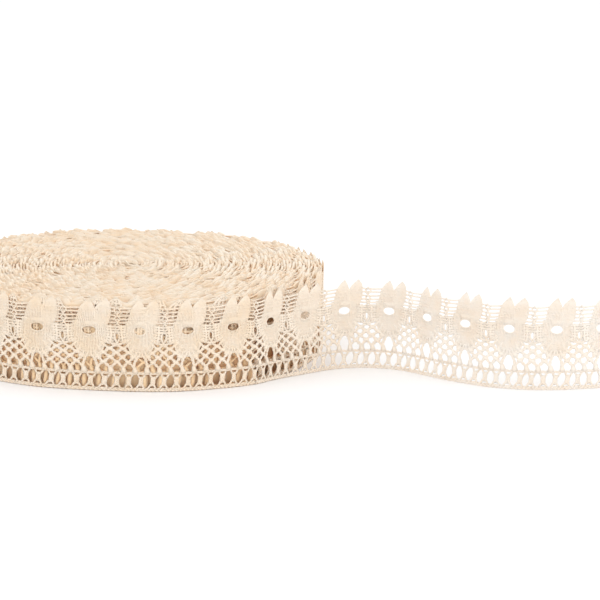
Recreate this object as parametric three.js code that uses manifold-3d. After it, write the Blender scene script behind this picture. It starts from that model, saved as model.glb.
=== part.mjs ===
// A roll of cotton lace edging, lying on its flat side, with the loose end of the lace run out beside it
// in a shallow wave. The lace stands on its straight foot edge and carries its crowns upwards.
// Millimetres, +Z up. The origin is the middle of the roll's underside, and -Y is its front.

import * as THREE from "three";
import { mergeVertices } from "three/addons/utils/BufferGeometryUtils.js";
import Module from "manifold-3d";

const wasm = await Module();
wasm.setup();

// The lace
const LACE_WIDTH = 30; // from the foot edge to the tips of the crowns
const LACE_THICKNESS = 1.2;
const RELAXED_PITCH = 15; // length of one motif where nothing stretches the lace
const BAYS_PER_MOTIF = 4; // bays of the ladder along the foot edge
const BAY = RELAXED_PITCH / BAYS_PER_MOTIF;
const LACE_COLOUR = 0xf4e4cd;

// The roll
const MOTIFS_PER_TURN = 24; // round the outermost turn
const RELAXED_ON_ROLL = 3; // of these, the ones that have sprung back beside the loose end
const ROLL_TOP = 28.7; // mean height of the packed turns, under the tips of the crowns
const ROLL_TOP_RINGS = 6;
const ROLL_TOP_LUMP = 0.5; // how far the packed turns stand up or sink
const WOUND_OVERLAP = 0.1; // the outermost turn sinks this far into the packed turns
const COLUMNS_ON_ROLL = 2; // straight facets to a motif

// The loose end
const LOOSE_MOTIFS = 9;
const CROWDED_PITCH = 13; // length of the first loose motif, which the bend beside the roll crowds
const COLUMNS_ON_LOOSE = 2;
const CLEARANCE = 0.3; // between the roll and the loose end

// The middle line of the outermost turn: its distance from the roll's centre, by the angle from the front,
// in degrees, towards +X. It ends one lace thickness further out than it began, as wound lace does.
const TURN = [
  { fromFront: -322, radius: 68.7 },
  { fromFront: -300, radius: 67.1 },
  { fromFront: -270, radius: 65.6 },
  { fromFront: -240, radius: 63.4 },
  { fromFront: -210, radius: 61.6 },
  { fromFront: -180, radius: 63.0 },
  { fromFront: -150, radius: 68.6 },
  { fromFront: -120, radius: 70.6 },
  { fromFront: -90, radius: 68.4 },
  { fromFront: -60, radius: 66.0 },
  { fromFront: -30, radius: 64.0 },
  { fromFront: 0, radius: 63.8 },
  { fromFront: 18, radius: 67.2 },
  { fromFront: 38, radius: 70.4 },
];

// The middle line of the loose end from there on.
const LOOSE = [
  { x: 49.4, y: -49.8 },
  { x: 58.4, y: -43.2 },
  { x: 69.0, y: -36.2 },
  { x: 79.0, y: -34.2 },
  { x: 90.0, y: -37.4 },
  { x: 104.5, y: -49.8 },
  { x: 119.0, y: -59.4 },
  { x: 135.0, y: -62.7 },
  { x: 151.0, y: -60.6 },
  { x: 166.0, y: -57.2 },
  { x: 182.0, y: -53.4 },
];

// Outlines of the gaps, as shares of half a gap's width and height, counter-clockwise.
const LEANING_BOX = [
  { x: 0.7, y: -1 },
  { x: 1, y: 0.9 },
  { x: -0.7, y: 1 },
  { x: -1, y: -0.9 },
];
const DIAMOND = [
  { x: 1, y: 0 },
  { x: 0, y: 1 },
  { x: -1, y: 0 },
  { x: 0, y: -1 },
];
const DROP = [
  { x: 0, y: -1 },
  { x: 0.9, y: -0.5 },
  { x: 0.8, y: 0.3 },
  { x: 0, y: 1 },
  { x: -0.8, y: 0.3 },
  { x: -0.9, y: -0.5 },
];
const OVAL = [
  { x: 1, y: 0 },
  { x: 0.5, y: 1 },
  { x: -0.5, y: 1 },
  { x: -1, y: 0 },
  { x: -0.5, y: -1 },
  { x: 0.5, y: -1 },
];

// The gaps of one motif: their middles across, in bays from the motif's centre line, and up from the foot.
const LADDER_BAYS = {
  shape: LEANING_BOX,
  across: [-1.5, -0.5, 0.5, 1.5],
  up: 3.3,
  wide: 2.3,
  tall: 3.8,
};
const NET_GAPS = { shape: DIAMOND, across: [-1, 1], up: 8.3, wide: 2.1, tall: 3.3 };
const BIG_GAP = { shape: DROP, across: [0], up: 9.0, wide: 3.3, tall: 5.4 };
const EYE = { shape: OVAL, across: [0], up: 19.8, wide: 3.7, tall: 2.5 };

// Between two crowns threads span the gap, drawn as straps at about twice the threads' own spacing. The crowns
// lean to the right, so each reaches further past the motif's centre line on that side.
const CROWN_LEFT = -3.2;
const CROWN_RIGHT = 5.9;
const SPAN_TOP = 27.0;
const SLOTS_ON_LOOSE = [
  { low: 22.3, high: 23.6 },
  { low: 24.8, high: 26.1 },
];
const SLOTS_ON_ROLL = [{ low: 22.3, high: 26.1 }];

// A crown's outline above the straps, from right to left over its two leaning ears.
const CROWN = [
  { across: 6.0, up: SPAN_TOP },
  { across: 5.6, up: 29.2 },
  { across: 4.8, up: LACE_WIDTH },
  { across: 3.9, up: 29.4 },
  { across: 1.4, up: 27.3 },
  { across: 1.1, up: 29.3 },
  { across: 0.3, up: LACE_WIDTH },
  { across: -0.6, up: 29.3 },
  { across: -2.4, up: SPAN_TOP },
];

const SAME_POINT = 1e-5;

// The lace's outer course

function courseOfLace() {
  const points = [
    ...TURN.map(({ fromFront, radius }) => {
      const angle = THREE.MathUtils.degToRad(fromFront);
      return new THREE.Vector3(radius * Math.sin(angle), -radius * Math.cos(angle), 0);
    }),
    ...LOOSE.map(({ x, y }) => new THREE.Vector3(x, y, 0)),
  ];
  const curve = new THREE.CatmullRomCurve3(points, false, "centripetal");
  const spans = points.length - 1;
  const stepsPerSpan = 60;
  curve.arcLengthDivisions = spans * stepsPerSpan;
  const lengths = curve.getLengths();
  return {
    curve,
    total: lengths.at(-1),
    turn: lengths[(TURN.length - 1) * stepsPerSpan],
  };
}

const course = courseOfLace();

// A place on the lace: how far along its course, how far out from its middle line, and how high.
function placeOnCourse(along, out, up) {
  const share = along / course.total;
  const middle = course.curve.getPointAt(share);
  const tangent = course.curve.getTangentAt(share);
  return new THREE.Vector3(middle.x + out * tangent.y, middle.y - out * tangent.x, up);
}

// Where each motif of the outermost turn begins: the first ones are stretched evenly by the winding.
function motifStartsOnRoll() {
  const stretched = MOTIFS_PER_TURN - RELAXED_ON_ROLL;
  const stretchedPitch = (course.turn - RELAXED_ON_ROLL * RELAXED_PITCH) / stretched;
  const starts = [0];
  for (let k = 0; k < MOTIFS_PER_TURN; k++) {
    starts.push(starts[k] + (k < stretched ? stretchedPitch : RELAXED_PITCH));
  }
  return starts;
}

function motifStartsOnLoose() {
  const starts = [course.turn + CLEARANCE];
  for (let k = 0; k < LOOSE_MOTIFS; k++) {
    starts.push(starts[k] + (k ? RELAXED_PITCH : CROWDED_PITCH));
  }
  return starts;
}

// The motif, drawn flat: x runs along the lace from the motif's centre line, y up from the foot

const point = (x, y) => new THREE.Vector2(x, y);

function gapOutline(gap, across) {
  return gap.shape.map(({ x, y }) =>
    point(across * BAY + (x * gap.wide) / 2, gap.up + (y * gap.tall) / 2),
  );
}

// One side of the motif from its foot up, with the part of each gap there that lies across the seam between
// two motifs. The side is 1 on the right and -1 on the left.
function sideOfMotif(side, crownEdge, withNet, slots) {
  const seam = (side * RELAXED_PITCH) / 2;
  const points = [point(seam, 0)];
  if (withNet) {
    points.push(point(seam, NET_GAPS.up - NET_GAPS.tall / 2));
    points.push(point(seam - (side * NET_GAPS.wide) / 2, NET_GAPS.up));
    points.push(point(seam, NET_GAPS.up + NET_GAPS.tall / 2));
  }
  for (const { low, high } of slots) {
    points.push(point(seam, low), point(crownEdge, low));
    points.push(point(crownEdge, high), point(seam, high));
  }
  points.push(point(seam, SPAN_TOP));
  return points;
}

function motifOutline(withNet, slots) {
  return [
    ...sideOfMotif(1, CROWN_RIGHT, withNet, slots),
    ...CROWN.map(({ across, up }) => point(across, up)),
    ...sideOfMotif(-1, CROWN_LEFT, withNet, slots).reverse(),
  ];
}

// Cuts flat triangles along an upright line, so that the lace can bend there.
function cutAlong(triangles, line) {
  const keepSide = (corners, side) => {
    const kept = [];
    corners.forEach((a, k) => {
      const b = corners[(k + 1) % corners.length];
      const da = side * (a.x - line);
      const db = side * (b.x - line);
      if (da > -SAME_POINT) kept.push(a);
      if (Math.min(da, db) < -SAME_POINT && Math.max(da, db) > SAME_POINT) {
        kept.push(point(line, a.y + ((b.y - a.y) * da) / (da - db)));
      }
    });
    return kept;
  };
  const cut = [];
  for (const triangle of triangles) {
    for (const side of [-1, 1]) {
      const part = keepSide(triangle, side);
      const reaches = part.some(({ x }) => side * (x - line) > SAME_POINT);
      for (let k = 2; reaches && k < part.length; k++) cut.push([part[0], part[k - 1], part[k]]);
    }
  }
  return cut;
}

function motifTriangles(gaps, withNet, slots, columns) {
  const outline = motifOutline(withNet, slots);
  const holes = gaps.flatMap((gap) => gap.across.map((across) => gapOutline(gap, across)));
  const corners = [outline, ...holes].flat();
  let triangles = THREE.ShapeUtils.triangulateShape(outline, holes).map((face) => {
    const [a, b, c] = face.map((k) => corners[k]);
    const turnsLeft = (b.x - a.x) * (c.y - a.y) > (b.y - a.y) * (c.x - a.x);
    return turnsLeft ? [a, b, c] : [a, c, b];
  });
  for (let k = 1; k < columns; k++) {
    triangles = cutAlong(triangles, RELAXED_PITCH * (k / columns - 0.5));
  }
  return triangles;
}

// Repeats the flat motif along the lace's course and gives it the lace's thickness.
function laceGeometry(triangles, starts) {
  const flat = [];
  const numbers = new Map();
  const numberOf = (x, y) => {
    const key = Math.round(x / SAME_POINT) + " " + Math.round(y / SAME_POINT);
    if (!numbers.has(key)) {
      numbers.set(key, flat.length);
      flat.push(point(x, y));
    }
    return numbers.get(key);
  };
  const faces = [];
  for (let k = 0; k + 1 < starts.length; k++) {
    const pitch = starts[k + 1] - starts[k];
    const along = (x) => starts[k] + (x / RELAXED_PITCH + 0.5) * pitch;
    for (const triangle of triangles) {
      const face = triangle.map(({ x, y }) => numberOf(along(x), y));
      if (new Set(face).size === 3) faces.push(face);
    }
  }

  const count = flat.length;
  const positions = [LACE_THICKNESS / 2, -LACE_THICKNESS / 2].flatMap((out) =>
    flat.flatMap(({ x, y }) => placeOnCourse(x, out, y).toArray()),
  );
  const edges = new Set(faces.flatMap(([a, b, c]) => [a + " " + b, b + " " + c, c + " " + a]));
  const index = faces.flatMap(([a, b, c]) => [a, b, c, a + count, c + count, b + count]);
  for (const edge of edges) {
    const [a, b] = edge.split(" ").map(Number);
    if (!edges.has(b + " " + a)) index.push(a, a + count, b, b, a + count, b + count);
  }

  const geometry = new THREE.BufferGeometry();
  geometry.setAttribute("position", new THREE.Float32BufferAttribute(positions, 3));
  geometry.setIndex(index);
  return geometry;
}

// The packed turns inside the outermost one: a turned disc whose rim is drawn out to the lace's course

function lump(x, y) {
  return (ROLL_TOP_LUMP * (Math.sin(x / 6 + y / 11) + Math.sin(y / 5 - x / 13))) / 2;
}

function packedTurnsGeometry(starts) {
  const sides = MOTIFS_PER_TURN * COLUMNS_ON_ROLL;
  const inside = -(LACE_THICKNESS / 2 - WOUND_OVERLAP);
  const profile = [point(0, 0), point(1, 0)];
  for (let ring = ROLL_TOP_RINGS; ring >= 0; ring--) {
    profile.push(point(ring / ROLL_TOP_RINGS, ROLL_TOP));
  }
  const geometry = new THREE.LatheGeometry(profile, sides);
  geometry.deleteAttribute("normal");
  geometry.deleteAttribute("uv");

  const position = geometry.getAttribute("position");
  for (let column = 0; column <= sides; column++) {
    const motif = Math.floor((column % sides) / COLUMNS_ON_ROLL);
    const share = (column % COLUMNS_ON_ROLL) / COLUMNS_ON_ROLL;
    const along = starts[motif] + share * (starts[motif + 1] - starts[motif]);
    const rim = placeOnCourse(along, inside, 0);
    profile.forEach(({ x: reach, y: height }, row) => {
      const x = rim.x * reach;
      const y = rim.y * reach;
      position.setXYZ(column * profile.length + row, x, y, height && height + lump(x, y));
    });
  }
  return geometry;
}

// Joining

function solidFrom(geometry) {
  const merged = mergeVertices(geometry, 1e-4);
  return new wasm.Manifold(
    new wasm.Mesh({
      numProp: 3,
      vertProperties: merged.getAttribute("position").array,
      triVerts: new Uint32Array(merged.index.array),
    }),
  );
}

function geometryFrom(solid) {
  const { vertProperties, triVerts } = solid.getMesh();
  const geometry = new THREE.BufferGeometry();
  geometry.setAttribute("position", new THREE.BufferAttribute(vertProperties, 3));
  geometry.setIndex(new THREE.BufferAttribute(triVerts, 1));
  geometry.computeVertexNormals();
  return geometry;
}

function rollGeometry() {
  const starts = motifStartsOnRoll();
  const gaps = [LADDER_BAYS, BIG_GAP, EYE];
  const motif = motifTriangles(gaps, false, SLOTS_ON_ROLL, COLUMNS_ON_ROLL);
  const outermostTurn = solidFrom(laceGeometry(motif, starts));
  return geometryFrom(solidFrom(packedTurnsGeometry(starts)).add(outermostTurn));
}

function looseEndGeometry() {
  const gaps = [LADDER_BAYS, NET_GAPS, BIG_GAP, EYE];
  const motif = motifTriangles(gaps, true, SLOTS_ON_LOOSE, COLUMNS_ON_LOOSE);
  return laceGeometry(motif, motifStartsOnLoose());
}

function namedMesh(name, geometry) {
  const cotton = new THREE.MeshStandardMaterial({
    color: LACE_COLOUR,
    roughness: 0.95,
    metalness: 0,
    side: THREE.DoubleSide,
  });
  const mesh = new THREE.Mesh(geometry, cotton);
  mesh.name = name;
  return mesh;
}

const laceRoll = new THREE.Group();
laceRoll.add(namedMesh("roll", rollGeometry()));
laceRoll.add(namedMesh("loose_end", looseEndGeometry()));

export default laceRoll;
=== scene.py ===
import math

import bmesh
import bpy
import numpy as np
from mathutils import Matrix


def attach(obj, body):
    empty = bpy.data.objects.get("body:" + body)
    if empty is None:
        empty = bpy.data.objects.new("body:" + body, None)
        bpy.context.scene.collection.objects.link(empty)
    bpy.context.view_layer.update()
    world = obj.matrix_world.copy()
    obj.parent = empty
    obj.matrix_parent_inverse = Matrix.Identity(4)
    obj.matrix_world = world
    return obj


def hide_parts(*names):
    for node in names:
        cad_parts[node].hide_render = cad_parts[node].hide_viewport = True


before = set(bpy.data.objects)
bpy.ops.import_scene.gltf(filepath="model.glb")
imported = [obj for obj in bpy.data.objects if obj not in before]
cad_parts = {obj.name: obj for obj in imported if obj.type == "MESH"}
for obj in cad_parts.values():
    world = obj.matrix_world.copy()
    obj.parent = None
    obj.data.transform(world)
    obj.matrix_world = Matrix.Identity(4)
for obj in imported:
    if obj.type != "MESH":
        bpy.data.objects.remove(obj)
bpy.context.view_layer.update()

MM = 0.001

# One motif of the lace, flat
# The machine works the strip from fine plied threads: a plaited foot, a ladder of plaited bars, a net of
# twisted pairs, a cloth-stitch fan round an oval eye, and a crown with two ears. It repeats every motif.

PITCH = 15.0  # mm, the length of one motif where nothing stretches the lace
SEAM = PITCH / 2  # from the motif's centre line to the next motif
BAY = PITCH / 4  # one bay of the ladder and the net
WIDTH = 30.0  # mm, from the foot edge to the tips of the ears
FOOT_UP = 0.765  # the middle of the foot's plait
LADDER_TOP = 5.5
RAIL_UP = 6.05  # the middle of the plait along the top of the ladder
NET_ROWS = (7.8, 9.6, 11.2, 12.7, 14.0, 15.2)  # heights at which the net's pairs cross
FAN_UP, FAN_HALF, FAN_DROP = 16.0, 4.2, 4.5  # the fan's lower edge is half an ellipse
FAN_TOP = 18.4
CLOTH_TOP = 22.9  # where the fan's last threads end among the crown's
EYE_UP, EYE_WIDE, EYE_TALL = 19.8, 3.9, 2.8
CROWN_LOW, NOTCH, TIP = 21.9, 27.0, 29.75
SPANS = (22.4, 23.5, 24.7, 25.9, 27.1)  # heights of the threads from crown to crown
CHAIN_ACROSS, CHAIN_LOW, CHAIN_LINK = -7.1, 19.7, 2.55  # the upright chain of links between two crowns
PRESSED = 0.5  # the wound lace is pressed flat, and its threads with it

# The sides of the crown's two ears, as distances right of the motif's centre line at rising heights. The
# crown leans to the right of the eye, with the steep side of each ear on its right.
LEFT_EAR = {
    "up": (20.9, 23.5, 25.0, 26.8, 28.3, 29.3, 29.8),
    "left": (-3.6, -3.4, -3.0, -2.5, -1.4, -0.5, 0.0),
    "right": (1.5, 1.5, 1.5, 1.45, 0.95, 0.6, 0.4),
}
RIGHT_EAR = {
    "up": (20.9, 23.5, 25.0, 26.8, 28.2, 29.2, 29.8),
    "left": (1.7, 1.7, 1.7, 1.8, 2.8, 3.9, 4.5),
    "right": (4.6, 5.6, 5.9, 5.9, 5.8, 5.45, 4.95),
}


def between(start, end, low, high, stops):
    """Points at the stops along the straight line from start, at stop low, to end, at stop high."""
    return start * (high - stops) / (high - low) + end * (stops - low) / (high - low)


def smooth_line(points, steps=24):
    """A centripetal Catmull-Rom line through the points, open at both ends."""
    points = np.asarray(points, float)
    ends = [2 * points[0] - points[1]], [2 * points[-1] - points[-2]]
    through = np.vstack([ends[0], points, ends[1]])
    line = []
    for a, b, c, d in zip(through, through[1:], through[2:], through[3:]):
        roots = [math.sqrt(np.linalg.norm(q - p)) for p, q in ((a, b), (b, c), (c, d))]
        knots = np.cumsum([0] + roots)
        stops = np.linspace(knots[1], knots[2], steps, endpoint=False)[:, None]
        near = between(a, b, knots[0], knots[1], stops)
        mid = between(b, c, knots[1], knots[2], stops)
        far = between(c, d, knots[2], knots[3], stops)
        first = between(near, mid, knots[0], knots[2], stops)
        last = between(mid, far, knots[1], knots[3], stops)
        line.append(between(first, last, knots[1], knots[2], stops))
    return np.vstack(line + [points[-1:]])


def run_of(line):
    """How far along the line each of its points is."""
    return np.concatenate([[0], np.cumsum(np.linalg.norm(np.diff(line, axis=0), axis=1))])


def evenly(points, step):
    """The smooth line through the points, as points that are about one step apart."""
    line = smooth_line(points)
    run = run_of(line)
    stops = np.linspace(0, run[-1], max(2, round(run[-1] / step) + 1))
    return np.column_stack([np.interp(stops, run, column) for column in line.T])


def plied(points, strands, spread, lay, step, start=0.0):
    """Strands that wind round each other along a guide, each as points across, up and out."""
    guide = evenly(points, step)
    run = run_of(guide)
    way = np.gradient(guide, axis=0)
    way /= np.linalg.norm(way, axis=1)[:, None]
    across = np.column_stack([-way[:, 1], way[:, 0]])
    made = []
    for strand in range(strands):
        turn = 2 * math.pi * (run / lay + strand / strands + start)
        side = guide + across * (spread * np.cos(turn))[:, None]
        made.append(np.column_stack([side, 0.8 * spread * np.sin(turn)]))
    return made


def flat_thread(points, step, out=0.0):
    """One thread in the plane of the lace, or a little in front of it."""
    line = evenly(points, step)
    return np.column_stack([line, np.full(len(line), out)])


def over_and_under(across, up, first):
    """A weaver's thread, which passes in front of one upright thread and behind the next."""
    sides = np.where(np.arange(len(across)) % 2, -first, first)
    return np.column_stack([across, up + 0 * across, 0.26 * sides])


def mirrored(line):
    """The same thread on the other side of the motif's centre line."""
    return line * np.array([-1, 1, 1])


def tapered(line, thick):
    """A thread's thickness at each point, thin at both ends, where the thread goes in among others."""
    thickness = np.full(len(line), thick)
    thickness[[0, -1]] *= 0.4
    return thickness


# Each part of the motif is drawn in two ways: fine, thread by thread, or plain, with a few threads that are
# as thick as those that they stand for. Thicknesses and steps from point to point are in mm.


def foot(fine):
    """The straight edge that is sewn on: a flat plait."""
    strands, step, thick = (3, BAY / 6, 0.57) if fine else (1, BAY, 1.2)
    swing, lift = (0.42, 0.28) if fine else (0.0, 0.0)
    run = np.linspace(-SEAM, SEAM, round(PITCH / step) + 1)
    for strand in range(strands):
        turn = 2 * math.pi * (run / BAY + strand / 3)
        yield np.column_stack([run, FOOT_UP + swing * np.sin(turn), lift * np.sin(2 * turn)]), thick


def ladder(fine):
    """The bars between the foot and the net. Each is a plait that opens into two legs at both its ends."""
    for bay in (-1, 0, 1, 2):
        middle = bay * BAY + 0.15 * math.sin(2.4 * bay)
        lean = 0.3 + 0.2 * math.sin(1.7 * bay)
        if not fine:
            yield flat_thread([(middle - lean, 0.8), (middle + lean, LADDER_TOP)], 5.0), 1.8
            continue
        thick, swing, lift = 0.7, 0.55, 0.3
        up = np.linspace(2.0, 4.9, 6)
        share = (up - 3.4) / 3.0
        for strand in range(4):
            turn = 2 * math.pi * (share * 1.1 + strand / 4 + 0.1 * bay)
            across = middle + lean * share + swing * np.sin(turn)
            yield np.column_stack([across, up, lift * np.sin(2 * turn)]), thick
        for side in (-1, 1):
            low_leg = [(middle - lean + side * 1.3, 1.0), (middle - 0.5 * lean + side * swing, 2.4)]
            yield flat_thread(low_leg, 1.6, 0.1), thick
            high_leg = [(middle + 0.5 * lean + side * swing, 4.5), (middle + lean + side * 1.2, 5.7)]
            yield flat_thread(high_leg, 1.4, -0.1), thick


def rail(fine):
    """The plait that runs along the top of the ladder."""
    strands, step, thick = (3, BAY / 5, 0.5) if fine else (1, BAY, 1.0)
    guide = [(-SEAM, RAIL_UP), (0, RAIL_UP), (SEAM, RAIL_UP)]
    for line in plied(guide, strands, spread=0.3, lay=BAY, step=step):
        yield line, thick


def net(fine):
    """Twisted pairs that cross in rows, from the cord line up into the fans on both sides."""
    low, second, third, fourth, fifth, sixth = NET_ROWS
    half, whole, seam = BAY / 2, BAY, SEAM
    routes = [
        [(half, 6.0), (half, 7.6), (1.9, 9.2), (1.4, 10.6), (0.6, 11.8), (0.3, 13.2)],
        [(half, 6.0), (half + 0.1, low), (whole, second), (whole + half, third), (seam, fourth)],
        [(whole + half, 6.0), (whole + half + 0.1, low), (seam, second)],
        [(seam, second), (whole + half, third), (3.7, fourth), (2.5, 14.2), (1.9, 15.5)],
        [(whole + half, 6.0), (whole + half - 0.1, low), (whole, second), (2.2, 11.3), (1.2, 13.3)],
        [(seam, fourth), (whole + half, fifth), (4.0, 15.2), (3.0, 16.3)],
        [(seam, sixth), (6.2, 15.6), (4.6, 16.3), (3.4, 16.9)],
        [(1.3, 10.7), (2.4, 11.5), (3.7, fourth), (whole + half, fifth), (seam, sixth)],
    ]
    thick = 0.64 if fine else 1.0
    for k, points in enumerate(routes):
        if fine:
            pair = plied(points, strands=2, spread=0.28, lay=2.9, step=1.04, start=0.13 * k)
        else:
            pair = [flat_thread(points, 1.9)]
        for line in pair:
            yield line, thick
            yield mirrored(line), thick
    crossings = [
        (whole, second),
        (whole + half, third),
        (2.35, 11.4),
        (3.7, fourth),
        (whole + half, fifth),
        (seam, second),
        (seam, fourth),
    ]
    reach, swell = 1.05, (0.3, 1.5, 0.3)  # a crossing is closed by a lump that thins out on both sides
    for across, up in crossings if fine else ():
        lump = np.array([(across - reach, up, 0), (across, up, 0), (across + reach, up, 0)])
        yield lump, swell
        if across < seam:
            yield mirrored(lump), swell
    for across in (-whole - half, -half, half, whole + half):
        leg = flat_thread([(across + 0.2, 6.2), (across + 0.15, 7.1), (across, 8.1)], 1.0, 0.15)
        yield leg, (2.3, 1.6, 1.2)  # the pairs start close together on the rail


def cloth(fine):
    """The cloth-stitch fan and the cloth above it: upright threads, parted round the eye, and a weaver that
    goes back and forth between them."""
    uprights, spacing, step, thick = (10, 0.44, 2.3, 0.48) if fine else (5, 0.9, 3.5, 0.85)
    for k in range(uprights):
        across = spacing * (k + 0.5)
        low = FAN_UP - FAN_DROP * math.sqrt(max(0, 1 - (across / FAN_HALF) ** 2))
        rim = EYE_TALL / 2 * math.sqrt(max(0, 1 - (2 * across / EYE_WIDE) ** 2))
        upright = [(across * 0.93, low), (across, (low + FAN_TOP) / 2)]
        parted = across * 1.08
        if rim:
            lines = [upright + [(parted, EYE_UP - rim)], [(parted, EYE_UP + rim), (across, CLOTH_TOP)]]
        else:
            lines = [upright + [(parted, EYE_UP), (across, CLOTH_TOP)]]
        for points in lines:
            line = flat_thread(points, step)
            yield line, thick
            yield mirrored(line), thick
    edge = np.linspace(math.pi, 2 * math.pi, 13 if fine else 7)
    yield np.column_stack([FAN_HALF * np.cos(edge), FAN_UP + FAN_DROP * np.sin(edge), 0 * edge]), 0.6
    row_gap, weaver = (1.1, 0.36) if fine else (1.2, 0.8)
    rows = np.arange(FAN_UP - FAN_DROP + 0.45, CLOTH_TOP, row_gap)
    for k, up in enumerate(rows):
        half = FAN_HALF * math.sqrt(max(0.05, 1 - (min(up - FAN_UP, 0) / FAN_DROP) ** 2))
        rim = EYE_WIDE / 2 * math.sqrt(max(0, 1 - (2 * (up - EYE_UP) / EYE_TALL) ** 2))
        if not rim:
            across = np.linspace(-half, half, 8 if fine else 4)
            yield over_and_under(across, up + 0.03 * across**2, (-1) ** k), weaver
            continue
        line = over_and_under(np.linspace(rim, half, 4 if fine else 2), up, (-1) ** k)
        yield line, weaver
        yield mirrored(line), weaver
    if fine:
        turn = np.linspace(0, 2 * math.pi, 15)
        wide, tall = EYE_WIDE / 2 + 0.05, EYE_TALL / 2 + 0.05
        rim = [wide * np.cos(turn), EYE_UP + tall * np.sin(turn), 0.05 * np.cos(7 * turn)]
        yield np.column_stack(rim), 0.42


def cheeks(fine):
    """The close work between two motifs, with an upright gap on the seam and pinholes beside it."""
    rungs = [
        [(3.9, 16.9), (5.4, 16.7), (6.6, 16.2)],
        [(4.1, 17.7), (5.5, 17.6), (6.6, 17.2)],
        [(4.3, 18.6), (5.8, 18.4), (6.7, 18.2)],
        [(4.3, 19.4), (6.0, 19.2), (SEAM, 19.2)],
        [(4.3, 20.3), (6.0, 20.1), (SEAM, 20.0)],
        [(4.2, 21.2), (6.0, 21.0), (SEAM, 20.9)],
    ]
    posts = [
        [(SEAM, NET_ROWS[5] + 0.6), (6.8, 17.0), (6.75, 18.5), (SEAM, 19.7)],
        [(5.5, 15.4), (5.9, 18.0), (5.8, 21.6)],
        [(4.6, 15.6), (5.0, 18.4), (4.9, 21.6)],
    ]
    step, thick = (1.4, 0.82) if fine else (2.5, 0.9)
    for k, points in enumerate((rungs + posts) if fine else (rungs[1::2] + posts)):
        line = flat_thread(points, step, 0.12 if k % 2 else -0.12)
        yield line, thick
        yield mirrored(line), thick
    yield flat_thread([(SEAM, NET_ROWS[5]), (SEAM, 16.2)], 1.5), 0.9


def crown(fine):
    """Two leaning ears: upright threads that gather at each tip, and a weaver that crosses them."""
    uprights, step, thick = (11, 1.5, 0.48) if fine else (4, 2.6, 0.85)
    row_gap, weaver = (1.1, 0.36) if fine else (1.15, 0.8)
    for ear in (LEFT_EAR, RIGHT_EAR):
        ups = np.array(ear["up"])
        for share in np.linspace(0, 1, uprights):
            across = (1 - share) * np.array(ear["left"]) + share * np.array(ear["right"])
            rise = np.where(ups > NOTCH, 0.25 * (1 - (2 * share - 1) ** 2), 0)
            line = flat_thread(np.column_stack([across, ups + rise]), step)
            yield line, tapered(line, thick)
    rows = np.arange(CROWN_LOW + 0.5, TIP - 0.3, row_gap)
    for k, up in enumerate(rows):
        edges = []
        for ear in (LEFT_EAR, RIGHT_EAR):
            edges += [np.interp(up, ear["up"], ear["left"]), np.interp(up, ear["up"], ear["right"])]
        if up < NOTCH:
            across = np.linspace(edges[0], edges[3], 10 if fine else 5)
            yield over_and_under(across, up, (-1) ** k), weaver
            continue
        for low, high in (edges[:2], edges[2:]):
            across = np.linspace(low, high, 4 if fine else 2)
            yield over_and_under(across, up, (-1) ** k), weaver


def spans(fine):
    """Fine threads from crown to crown, laced together halfway by a chain of round links."""
    step, thick = (1.5, 0.52) if fine else (3.0, 0.9)
    for k, up in enumerate(SPANS):
        sag = 0.12 + 0.22 * math.sin(1.9 * k + 0.4) ** 2
        left = np.interp(up, LEFT_EAR["up"], LEFT_EAR["left"])
        right = np.interp(up, RIGHT_EAR["up"], RIGHT_EAR["right"])
        rest = [(right, up), (SEAM, up - 0.7 * sag)]
        yield flat_thread(rest, step), thick
        half = [(-SEAM, up - 0.7 * sag), (-6.1, up - sag), (left, up)]
        yield flat_thread(half, step), thick
    up = CHAIN_LOW + CHAIN_LINK / 2 * np.arange(7)
    for side in (-1, 1):
        sway = side * np.where(np.arange(7) % 2, 0.95, -0.1)
        links = np.column_stack([CHAIN_ACROSS + sway, up])
        yield flat_thread(links, 0.65 if fine else 2.5, 0.1 * side), 0.55


LACE_PARTS = (foot, ladder, rail, net, cloth, cheeks, crown, spans)


def motif_mesh(name, fine):
    """One motif's threads as four-sided tubes, in millimetres: x across, y up, z out."""
    curve = bpy.data.curves.new(name, "CURVE")
    curve.dimensions = "3D"
    curve.bevel_depth = 0.5  # a point's radius is then the thread's thickness
    curve.bevel_resolution = 0
    curve.use_fill_caps = True
    for part in LACE_PARTS:
        for line, thick in part(fine):
            spline = curve.splines.new("POLY")
            spline.points.add(len(line) - 1)
            spline.points.foreach_set("co", np.column_stack([line, np.ones(len(line))]).ravel())
            spline.points.foreach_set("radius", np.full(len(line), 1.0) * thick)
            spline.use_smooth = True
    holder = bpy.data.objects.new(name, curve)
    mesh = bpy.data.meshes.new_from_object(holder)
    bpy.data.objects.remove(holder)
    bpy.data.curves.remove(curve)
    bm = bmesh.new()
    bm.from_mesh(mesh)
    bmesh.ops.remove_doubles(bm, verts=bm.verts, dist=1e-5)
    bmesh.ops.scale(bm, vec=(1, 1, PRESSED), verts=bm.verts)
    bm.to_mesh(mesh)
    bm.free()
    return mesh


fine_motif = motif_mesh("fine_motif", True)
plain_motif = motif_mesh("plain_motif", False)

# The outermost turn
# The last turn of the strip, wound flat on the others: it follows the roll's slightly oval outline and
# stands out at the front right, where the loose end pulls away. Only the lie of the lace holds it.

MOTIFS_PER_TURN = 24
RELAXED_ON_ROLL = 3  # motifs that have sprung back to their own length beside the loose end
CUT_GAP = 0.3  # mm, between the outermost turn's piece of strip and the loose end's
# The strip's middle line round the roll: the distance from the roll's centre, in mm, by the angle from the
# front, in degrees, towards +X.
TURN = (
    (-322, 68.7),
    (-300, 67.1),
    (-270, 65.6),
    (-240, 63.4),
    (-210, 61.6),
    (-180, 63.0),
    (-150, 68.6),
    (-120, 70.6),
    (-90, 68.4),
    (-60, 66.0),
    (-30, 64.0),
    (0, 63.8),
    (18, 67.2),
    (38, 70.4),
)
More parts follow.
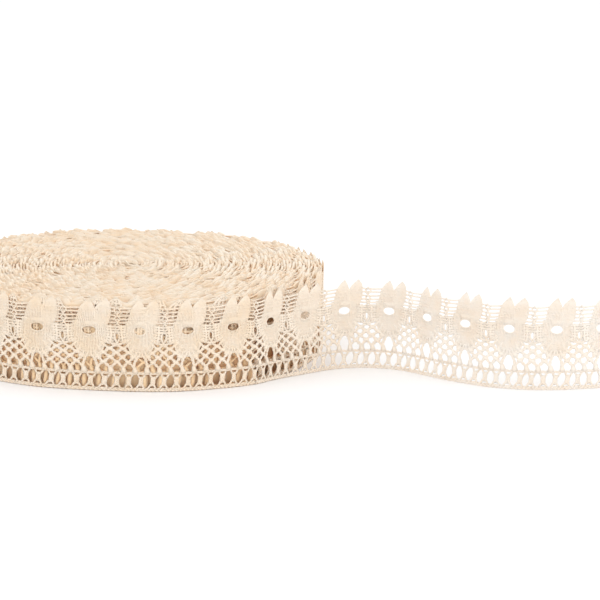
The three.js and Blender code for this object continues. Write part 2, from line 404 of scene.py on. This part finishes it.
# The middle line of the loose end from there on, as x and y in mm.
LOOSE = (
    (49.4, -49.8),
    (58.4, -43.2),
    (69.0, -36.2),
    (79.0, -34.2),
    (90.0, -37.4),
    (104.5, -49.8),
    (119.0, -59.4),
    (135.0, -62.7),
    (151.0, -60.6),
    (166.0, -57.2),
    (182.0, -53.4),
)


def on_circle(angle, radius):
    """Points at angles in degrees from the front, towards +X, and distances from the roll's centre."""
    turn = np.radians(angle)
    return np.column_stack([radius * np.sin(turn), -radius * np.cos(turn)])


turn_table = np.array(TURN, float)
COURSE_STEPS = 60
course = smooth_line(np.vstack([on_circle(*turn_table.T), LOOSE]), COURSE_STEPS)
turn_end = run_of(course)[(len(TURN) - 1) * COURSE_STEPS]
stretched_pitch = (turn_end - RELAXED_ON_ROLL * PITCH) / (MOTIFS_PER_TURN - RELAXED_ON_ROLL)
pitches = [stretched_pitch] * (MOTIFS_PER_TURN - RELAXED_ON_ROLL) + [PITCH] * RELAXED_ON_ROLL
turn_starts = np.concatenate([[0], np.cumsum(pitches)])


def wander(run, seed, length, size):
    """A soft unevenness along the strip, about one length from crest to crest, and at most size."""
    draws = np.random.default_rng(seed)
    waves = (1.0, 0.62, 0.41)  # three of them that don't come round together, as shares of the length
    total = np.zeros_like(run)
    for share in waves:
        total += np.sin(2 * math.pi * run / (length * share) + draws.uniform(0, 7))
    return size * total / len(waves)


def strip_of(name, motif, count):
    """The motif repeated along a flat strip that starts at zero."""
    sample = bpy.data.objects.new(name, motif)
    bpy.context.scene.collection.objects.link(sample)
    repeat = sample.modifiers.new("repeat", "ARRAY")
    repeat.count = count
    repeat.use_relative_offset = False
    repeat.use_constant_offset = True
    repeat.constant_offset_displace = (PITCH, 0, 0)
    finished = sample.evaluated_get(bpy.context.evaluated_depsgraph_get())
    mesh = bpy.data.meshes.new_from_object(finished)
    bpy.data.objects.remove(sample)
    mesh.name = name
    mesh.transform(Matrix.Translation((SEAM, 0, 0)))
    return mesh


# How unevenly the strip lies, as mm from crest to crest and, where it is the same for every piece, mm of
# height. The pattern is drawn back and forth along the strip, more at mid height than at the edges.
DRAWN_LENGTH, DRAWN = 23, 0.3
WIDTH_LENGTH, WIDTH_CHANGE = 31, 0.16  # the lace is wider here and narrower there
SINK_LENGTH, CROWN_RISE_LENGTH = 47, 4.3  # whole stretches sink, and so does one crown beside another
LEAN_LENGTH, EAR_LEAN_LENGTH = 38, 9.1  # likewise for how the crowns and their ears tip in and out


def stand_along(name, mesh, line, starts, seed, yarn, lean=0.5, rise=0.0, settle=0.0, press=0.0):
    """Stands a flat strip on its foot along a line, with its motifs starting where starts says. Lean is how
    far the crowns tip in and out, rise how far they stand up or sink, settle how far they have sunk from
    the roll's sides on to its back, and press how far they lean on the turn outside them, all in mm."""
    co = np.zeros(len(mesh.vertices) * 3)
    mesh.vertices.foreach_get("co", co)
    across, up, out = co.reshape(-1, 3).T
    flat = PITCH * np.arange(len(starts))
    run = np.interp(across, flat, starts)
    run += np.where(across < 0, across, 0) + np.where(across > flat[-1], across - flat[-1], 0)
    height = up / WIDTH
    drawn = wander(run + 40 * height, seed, DRAWN_LENGTH, DRAWN)
    run += drawn * np.sin(math.pi * np.clip(height, 0, 1))
    up = up + wander(run, seed + 1, WIDTH_LENGTH, WIDTH_CHANGE) * height
    up += wander(run, seed + 2, SINK_LENGTH, rise) * height**2
    up += wander(run, seed + 3, CROWN_RISE_LENGTH, 0.6 * rise) * height**4
    out = out + press * height**2 + wander(run, seed + 4, LEAN_LENGTH, lean) * height**3
    out += wander(run, seed + 5, EAR_LEAN_LENGTH, 0.5 * lean) * np.clip(height * 3 - 2, 0, 1) ** 2
    along = run_of(line)
    way = np.gradient(line, axis=0)  # the strip's direction at each point of the line
    way /= np.linalg.norm(way, axis=1)[:, None]
    step = np.clip(run, 0, along[-1])
    beyond = run - step  # what hangs over either end of the line goes straight on
    way_x, way_y = (np.interp(step, along, column) for column in way.T)
    x, y = (np.interp(step, along, column) for column in line.T)
    x += way_x * beyond + way_y * out
    y += way_y * beyond - way_x * out
    up -= settle * np.clip(y / 50 + 0.6, 0, 1) * height**3
    placed = np.column_stack([x, y, np.maximum(up, 0.02)]) * MM
    mesh.vertices.foreach_set("co", placed.ravel())
    mesh.materials.clear()
    mesh.materials.append(yarn)
    mesh.update()
    piece = bpy.data.objects.new(name, mesh)
    bpy.context.scene.collection.objects.link(piece)
    return piece


# The yarn of all the lace: plied cotton, unbleached, boiled to a warm ecru and left without a gloss. The
# eye sees a matt, faintly furry thread that lets some light through, so deep gaps glow orange-tan. Each
# piece has its own copy of it: the plain ecru on the outermost turn, a paler copy with painted light on
# the loose end, and copies with a tan painted shade low on the turns under it, which adds to that glow.
THREAD_LIT_THROUGH = "#fbe3bf"
LIGHT_THROUGH = 0.12  # the share of the light that goes on through a thread
DYE_LOT_MM = 9.0  # the boiled yarn is a shade warmer here and there, in patches of about this size
FIBRE_MM = 0.16  # loose fibres on the yarn, drawn a little coarser than they are


def linear(shade):
    """An sRGB hex shade as linear red, green, blue and alpha."""
    parts = [int(shade[k : k + 2], 16) / 255 for k in (1, 3, 5)]
    return [c / 12.92 if c <= 0.04045 else ((c + 0.055) / 1.055) ** 2.4 for c in parts] + [1.0]


def add_node(tree, kind, settings=None, links=None):
    """Adds a node. Settings are its properties or sockets by name, links the sockets that feed it."""
    node = tree.nodes.new(kind)
    for name, value in (settings or {}).items():
        if name in node.inputs:
            node.inputs[name].default_value = value
        else:
            setattr(node, name, value)
    for name, source in (links or {}).items():
        tree.links.new(source, node.inputs[name])
    return node


def cotton_yarn(name, ecrus, other_shade=None, axis="Z", from_mm=0.0, to_mm=1.0):
    """Matt plied cotton in two close shades of ecru, which take over from another shade along an axis. The
    change along the axis paints in tan shade on the inner turns and light on the loose end.
    """
    material = bpy.data.materials.new(name)
    material.use_nodes = True
    tree = material.node_tree
    tree.nodes.clear()
    place = add_node(tree, "ShaderNodeTexCoord").outputs["Object"]
    patches = add_node(
        tree,
        "ShaderNodeTexNoise",
        {"Scale": 1 / (DYE_LOT_MM * MM), "Detail": 3.0, "Roughness": 0.7},
        {"Vector": place},
    )
    ecru = add_node(tree, "ShaderNodeValToRGB", links={"Fac": patches.outputs["Fac"]})
    ecru.color_ramp.elements[0].position = 0.35
    ecru.color_ramp.elements[0].color = linear(ecrus[1])
    ecru.color_ramp.elements[1].position = 0.62
    ecru.color_ramp.elements[1].color = linear(ecrus[0])
    colour = ecru.outputs["Color"]
    if other_shade:
        # The mix along the axis paints in the tan shade of the inner turns and the light of the loose end.
        way = add_node(tree, "ShaderNodeSeparateXYZ", links={"Vector": place}).outputs[axis]
        span = {"From Min": from_mm * MM, "From Max": to_mm * MM}
        share = add_node(tree, "ShaderNodeMapRange", span, {"Value": way}).outputs["Result"]
        shades = add_node(tree, "ShaderNodeMix", {"data_type": "RGBA"}, {"Factor": share})
        shades.inputs["A"].default_value = linear(other_shade)
        tree.links.new(colour, shades.inputs["B"])
        colour = shades.outputs["Result"]
    fibres = add_node(
        tree,
        "ShaderNodeTexNoise",
        {"Scale": 1 / (FIBRE_MM * MM), "Detail": 2.0, "Roughness": 0.6},
        {"Vector": place},
    )
    fur = add_node(
        tree,
        "ShaderNodeBump",
        {"Strength": 0.35, "Distance": 0.06 * MM},
        {"Height": fibres.outputs["Fac"]},
    )
    yarn = add_node(
        tree,
        "ShaderNodeBsdfPrincipled",
        {
            "Roughness": 0.9,
            "Specular IOR Level": 0.25,
            "Sheen Weight": 0.25,
            "Sheen Roughness": 0.5,
        },
        {"Base Color": colour, "Normal": fur.outputs["Normal"]},
    )
    glow = add_node(tree, "ShaderNodeBsdfTranslucent", {"Color": linear(THREAD_LIT_THROUGH)})
    both = add_node(tree, "ShaderNodeMixShader", {"Fac": LIGHT_THROUGH})
    tree.links.new(yarn.outputs["BSDF"], both.inputs[1])
    tree.links.new(glow.outputs["BSDF"], both.inputs[2])
    add_node(tree, "ShaderNodeOutputMaterial", links={"Surface": both.outputs["Shader"]})
    return material


# Ecru cotton in its own colour, as the outermost turn has it: plied, boiled and left matt, it gives the
# eye a pale warm thread with a shade more yellow here and there.
OWN_ECRUS = ("#fcefdd", "#fae7cd")
own_cotton = cotton_yarn("own_ecru_cotton", OWN_ECRUS)
# The frame's solids, which the modelled lace replaces, are of the same cotton.
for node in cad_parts.values():
    node.data.materials.clear()
    node.data.materials.append(own_cotton)

outer_turn = stand_along(
    "outer_turn",
    strip_of("outer_turn", fine_motif, MOTIFS_PER_TURN),
    course,
    turn_starts,
    seed=11,
    yarn=own_cotton,
    settle=1.2,
)
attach(outer_turn, "root")
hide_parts("roll")

# The loose end
# The free end of the same strip. It leaves the outermost turn at the front right, stands on its foot edge
# in a shallow wave, and ends in a plain cut across the lace.

LOOSE_MOTIFS = 9
CROWDED_PITCH = 13.0  # mm, the length of the first motif, which the bend beside the roll crowds
loose_pitches = [CROWDED_PITCH] + [PITCH] * (LOOSE_MOTIFS - 1)
loose_starts = turn_end + CUT_GAP + np.concatenate([[0], np.cumsum(loose_pitches)])
# The same cotton in a paler copy: painted light for the light that falls on both its faces and through the
# thread. It gives the eye a nearly white thread, with the painted light strongest towards the cut end.
BACKLIGHT_PAINTED_ECRUS = ("#fdf6ec", "#fcf0e0")
BACKLIGHT_PAINTED_FROM_MM, BACKLIGHT_PAINTED_BY_MM = 50, 95  # how far right the change begins and ends
backlight_painted_cotton = cotton_yarn(
    "backlight_painted_ecru_cotton",
    BACKLIGHT_PAINTED_ECRUS,
    other_shade=OWN_ECRUS[0],
    axis="X",
    from_mm=BACKLIGHT_PAINTED_FROM_MM,
    to_mm=BACKLIGHT_PAINTED_BY_MM,
)

loose_end = stand_along(
    "loose_lace",
    strip_of("loose_lace", fine_motif, LOOSE_MOTIFS),
    course,
    loose_starts,
    seed=29,
    yarn=backlight_painted_cotton,
)
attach(loose_end, "root")
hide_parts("loose_end")

# The turns under it
# The rest of the strip, about seventy turns wound flat round nothing. The next turn shows through the gaps
# of the outermost one, and the rest show only by their crowns, and by their webs behind the wider gaps.

TURN_GAP = 0.93  # mm from one packed turn to the next
FIRST_GAP = turn_table[-1, 1] - turn_table[0, 1]  # where the loose end pulls away from the turn below
SHOWING_TURNS = 1
PACKED_TURNS = 69
ROLL_RADIUS = 66.5  # mm, on average; each turn further in has the roll's outline at a smaller scale
POINTS_PER_TURN = 240
# The gap closes again behind the place where the loose end pulls away: this share of it within a few
# hundredths of a turn, and another share evenly over the whole turn.
CLOSED_QUICKLY, QUICKLY = 0.7, 0.04
CLOSED_EVENLY = 0.3
# The outer turns bulge at the front right, by up to so many mm there, and the bulge is gone seven turns in.
BULGE, BULGE_ANGLE, BULGE_SPREAD, BULGE_TURNS = 2.2, 33, 22, 7

angles = np.degrees(np.arctan2(course[:, 0], -course[:, 1]))
on_turn = run_of(course) <= turn_end
turn_angle = np.unwrap(angles[on_turn], period=360)
turn_angle += TURN[0][0] - turn_angle[0]
back = (TURN[-1][0] - turn_angle) / 360  # the share of the turn that lies between there and the loose end
apart = 1 - CLOSED_EVENLY * (1 - back) - CLOSED_QUICKLY * np.exp(-back / QUICKLY)
rim = np.linalg.norm(course[on_turn], axis=1) + FIRST_GAP * apart


def wound_line(first, last):
    """The strip's middle line from so many turns in to fewer turns in, counted from the loose end."""
    turns = np.linspace(first, last, int((first - last) * POINTS_PER_TURN) + 1)
    angle = TURN[-1][0] - 360 * turns
    radius = np.interp((angle - TURN[0][0]) % 360 + TURN[0][0], turn_angle, rim)
    aside = (angle - BULGE_ANGLE + 180) % 360 - 180
    bulge = np.exp(-((aside / BULGE_SPREAD) ** 2))
    radius -= BULGE * bulge * np.clip((turns - 1) / BULGE_TURNS, 0, 1)
    inset = FIRST_GAP + TURN_GAP * (turns - 1)
    radius = radius * (1 - inset / ROLL_RADIUS)
    turn = np.radians(angle)
    ripple = 0.2 * np.sin(5 * turn + 0.55 * turns) + 0.14 * np.sin(11 * turn - 0.9 * turns)
    radius += ripple * np.clip(radius / 25, 0, 1)  # the smallest turns hardly ripple
    return on_circle(angle, radius)


DRIFT_LENGTH, DRIFT = 290, 6  # mm: as the winding tension changes, the pattern drifts along the strip


def motif_starts(line):
    """Motif starts along a line, counted back from its outer end so that the pattern runs on."""
    length = run_of(line)[-1]
    count = int(length / stretched_pitch)
    starts = length - stretched_pitch * np.arange(count, -1, -1)
    drift = wander(starts, seed=61, length=DRIFT_LENGTH, size=DRIFT)
    return starts + drift - drift[-1]


# The same cotton, with a tan painted shade over its lower part, where the turn outside shades it; the
# painted shade gives way to the plain ecru towards its crown. It gives the eye the golden depth in the outer
# turn's gaps.
PAINTED_SHADE_TAN = "#f9dab0"
PAINTED_SHADE_UP_TO_MM, PAINTED_SHADE_GONE_ABOVE_MM = 17, 23
painted_shade_cotton = cotton_yarn(
    "painted_shade_ecru_cotton",
    OWN_ECRUS,
    other_shade=PAINTED_SHADE_TAN,
    axis="Z",
    from_mm=PAINTED_SHADE_UP_TO_MM,
    to_mm=PAINTED_SHADE_GONE_ABOVE_MM,
)

showing_line = wound_line(1 + SHOWING_TURNS, 1)
showing_starts = motif_starts(showing_line)
showing_turns = stand_along(
    "showing_turns",
    strip_of("showing_turns", plain_motif, len(showing_starts) - 1),
    showing_line,
    showing_starts,
    seed=47,
    yarn=painted_shade_cotton,
    lean=0.25,
    rise=0.4,
    settle=1.0,
    press=0.2,
)
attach(showing_turns, "root")
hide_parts("roll")


# A packed motif is pressed between its neighbours: its foot and body are one plain web, with the topmost of
# the spans above it, and its crown is one leaf with two rounded tips, thickest in the middle.
WEB_LOW, WEB_TOP, WEB_THICK = 0.1, 27.4, 0.86
SPAN_LOW, SPAN_TOP, SPAN_THICK = 27.8, 28.2, 0.7
PARTS_PER_MOTIF = 5  # so that the straight web can follow the turn
CROWN_THICK, CROWN_SWELL = 0.8, 0.1
CROWN_MIDDLE = (1.4, 26.5)
CROWN_OUTLINE = (
    (-3.1, 24.0),
    (-2.6, 27.0),
    (-1.6, 28.6),
    (0.2, 29.1),
    (1.0, 28.8),
    (1.5, 28.2),
    (3.2, 28.8),
    (4.6, 29.2),
    (5.6, 28.7),
    (5.9, 26.5),
    (5.0, 24.0),
)


def web(bm, low, top, thick):
    """A plain band as long as the motif, cut across into parts."""
    place = Matrix.Translation((0, (low + top) / 2, 0)) @ Matrix.Diagonal((PITCH, top - low, thick, 1))
    corners = bmesh.ops.create_cube(bm, size=1, matrix=place)["verts"]
    long_edges = []
    for edge in bm.edges:
        start, end = edge.verts
        if start in corners and abs(start.co.x - end.co.x) > SEAM:
            long_edges.append(edge)
    bmesh.ops.subdivide_edges(bm, edges=long_edges, cuts=PARTS_PER_MOTIF - 1, use_grid_fill=True)


def packed_motif(name):
    """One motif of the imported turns, flat, in millimetres: x across, y up, z out."""
    bm = bmesh.new()
    web(bm, WEB_LOW, WEB_TOP, WEB_THICK)
    web(bm, SPAN_LOW, SPAN_TOP, SPAN_THICK)
    back = bm.faces.new([bm.verts.new((across, up, -CROWN_THICK / 2)) for across, up in CROWN_OUTLINE])
    raised = bmesh.ops.extrude_face_region(bm, geom=[back], use_keep_orig=True)["geom"]
    front = [part for part in raised if isinstance(part, bmesh.types.BMFace)]
    rim = [part for part in raised if isinstance(part, bmesh.types.BMVert)]
    bmesh.ops.translate(bm, vec=(0, 0, CROWN_THICK), verts=rim)
    for middle in bmesh.ops.poke(bm, faces=[back] + front)["verts"]:
        out = math.copysign(CROWN_THICK / 2 + CROWN_SWELL, middle.co.z)
        middle.co = (*CROWN_MIDDLE, out)
    bmesh.ops.recalc_face_normals(bm, faces=bm.faces)
    mesh = bpy.data.meshes.new(name)
    bm.to_mesh(mesh)
    bm.free()
    for face in mesh.polygons:
        face.use_smooth = True
    return mesh


# The same cotton in the imported turns, in two shades in random patches, with a tan painted shade down in
# the grooves that gives way to those shades at the tips of the crowns. It gives the eye the mottled top.
MOTTLED = ("#fdf1df", "#fae4c8")
PAINTED_SHADE_UP_TO_GROOVE_MM, PAINTED_SHADE_GONE_AT_TIPS_MM = 24, 29
mottled_groove_shade_cotton = cotton_yarn(
    "mottled_groove_shade_ecru_cotton",
    MOTTLED,
    other_shade=PAINTED_SHADE_TAN,
    axis="Z",
    from_mm=PAINTED_SHADE_UP_TO_GROOVE_MM,
    to_mm=PAINTED_SHADE_GONE_AT_TIPS_MM,
)

packed_line = wound_line(1 + PACKED_TURNS, 1 + SHOWING_TURNS)
packed_starts = motif_starts(packed_line)
packed_turns = stand_along(
    "packed_turns",
    strip_of("packed_turns", packed_motif("packed_motif"), len(packed_starts) - 1),
    packed_line,
    packed_starts,
    seed=83,
    yarn=mottled_groove_shade_cotton,
    lean=0.35,
    rise=0.65,
    press=0.3,
)
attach(packed_turns, "root")
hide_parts("roll")

# The table, the light and the camera
# A plain white table without an edge, under a bright overcast sky, with one soft lamp at the upper left and
# one lower at the right.

TABLE_SIZE = 6.0  # m
SKY_STRENGTH = 1.115
LIT_PLACE = (0.0, 0.0, 0.02)  # what both lamps face

bm = bmesh.new()
bmesh.ops.create_grid(bm, x_segments=1, y_segments=1, size=TABLE_SIZE / 2)
table_mesh = bpy.data.meshes.new("table")
bm.to_mesh(table_mesh)
bm.free()
table = bpy.data.objects.new("table", table_mesh)
bpy.context.scene.collection.objects.link(table)
# A table top painted matt white: it gives the eye an even ground that the soft shadows fall on.
white = bpy.data.materials.new("matt_white_table")
white.use_nodes = True
paint = white.node_tree.nodes["Principled BSDF"]
paint.inputs["Base Color"].default_value = linear("#f6f6f7")
paint.inputs["Roughness"].default_value = 0.9
table_mesh.materials.append(white)

sky = bpy.data.worlds.new("overcast")
sky.use_nodes = True
sky.node_tree.nodes["Background"].inputs["Color"].default_value = (1, 1, 1, 1)
sky.node_tree.nodes["Background"].inputs["Strength"].default_value = SKY_STRENGTH
bpy.context.scene.world = sky
bpy.context.scene.view_settings.view_transform = "Standard"
bpy.context.scene.cycles.max_bounces = 16
bpy.context.scene.cycles.diffuse_bounces = 16


def lamp(name, place, size, watts):
    """A soft square lamp that faces the roll."""
    light = bpy.data.lights.new(name, "AREA")
    light.size = size
    light.energy = watts
    holder = bpy.data.objects.new(name, light)
    holder.location = place
    toward = np.array(LIT_PLACE) - np.array(place)
    flat = math.hypot(toward[0], toward[1])
    holder.rotation_euler = (math.atan2(flat, -toward[2]), 0, math.atan2(-toward[0], toward[1]))
    bpy.context.scene.collection.objects.link(holder)


lamp("window", (-0.9, -0.9, 1.3), size=0.8, watts=3)
lamp("far_window", (1.2, -0.3, 0.5), size=1.0, watts=2.6)

CAMERA_PLACE = (0.05783, -0.67621, 0.1656)
CAMERA_TILT_DEG = 12.514  # below level
CAMERA_LENS_MM = 120.0  # on a sensor 36 mm wide

lens = bpy.data.cameras.new("camera")
lens.lens = CAMERA_LENS_MM
lens.sensor_width = 36.0
lens.clip_start = 0.01
camera = bpy.data.objects.new("camera", lens)
camera.location = CAMERA_PLACE
camera.rotation_euler = (math.radians(90 - CAMERA_TILT_DEG), 0, 0)
bpy.context.scene.collection.objects.link(camera)
bpy.context.scene.camera = camera
